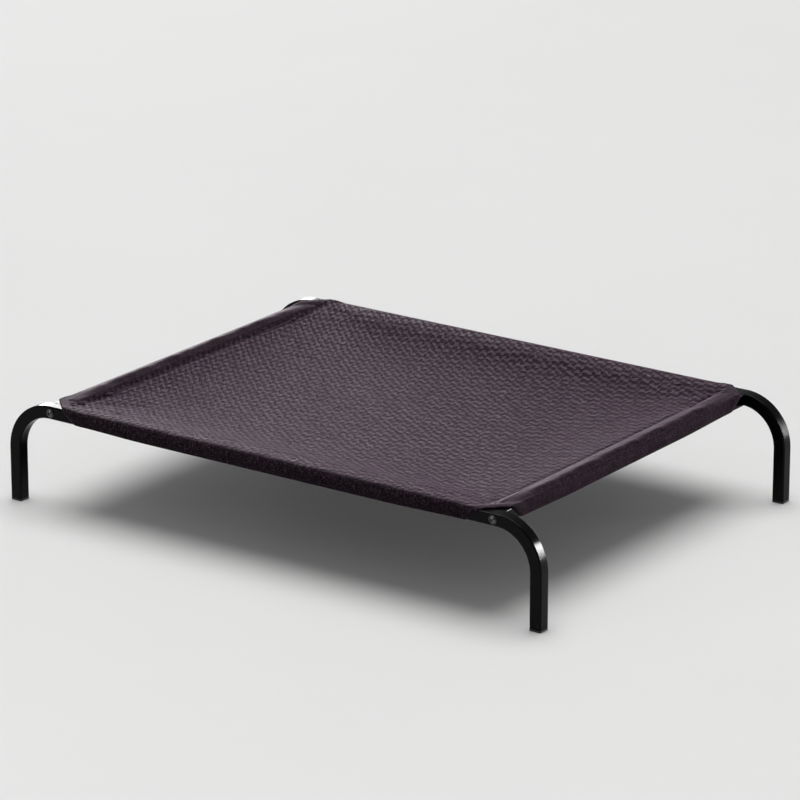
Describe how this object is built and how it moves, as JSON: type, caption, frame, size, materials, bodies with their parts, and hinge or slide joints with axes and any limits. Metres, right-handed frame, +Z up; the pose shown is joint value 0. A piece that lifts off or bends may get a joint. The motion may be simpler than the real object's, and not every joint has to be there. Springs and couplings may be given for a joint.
{
  "type": "raised dog cot",
  "caption": "Low raised pet cot: a taut mesh-fabric sheet in sewn sleeves on a square steel tube frame with curved legs bolted at the corners.",
  "frame": {"origin": "on the floor under the middle of the cot", "axes": "+X along the long side towards the right end, +Y towards the back side, +Z up"},
  "size_m": [1.221, 0.868, 0.2076],
  "materials": {
    "frame_tube": "gloss black powder coat",
    "cover_fabric": "coated polyester mesh, dark taupe, satin",
    "fasteners": "black zinc plate, satin",
    "insert_steel": "bright zinc plate",
    "foot_plastic": "moulded black, matte"
  },
  "bodies": {
    "root": {"cover": "cover_fabric", "side_rail_front": "frame_tube", "side_rail_back": "frame_tube", "end_rail_left": "frame_tube", "end_rail_right": "frame_tube", "leg_front_left": "frame_tube", "bolt_front_left": "fasteners", "washer_front_left": "fasteners", "insert_front_left": "insert_steel", "foot_plug_front_left": "foot_plastic", "leg_front_right": "frame_tube", "bolt_front_right": "fasteners", "washer_front_right": "fasteners", "insert_front_right": "insert_steel", "foot_plug_front_right": "foot_plastic", "leg_back_left": "frame_tube", "bolt_back_left": "fasteners", "washer_back_left": "fasteners", "insert_back_left": "insert_steel", "foot_plug_back_left": "foot_plastic", "leg_back_right": "frame_tube", "bolt_back_right": "fasteners", "washer_back_right": "fasteners", "insert_back_right": "insert_steel", "foot_plug_back_right": "foot_plastic"}
  },
  "joints": []
}
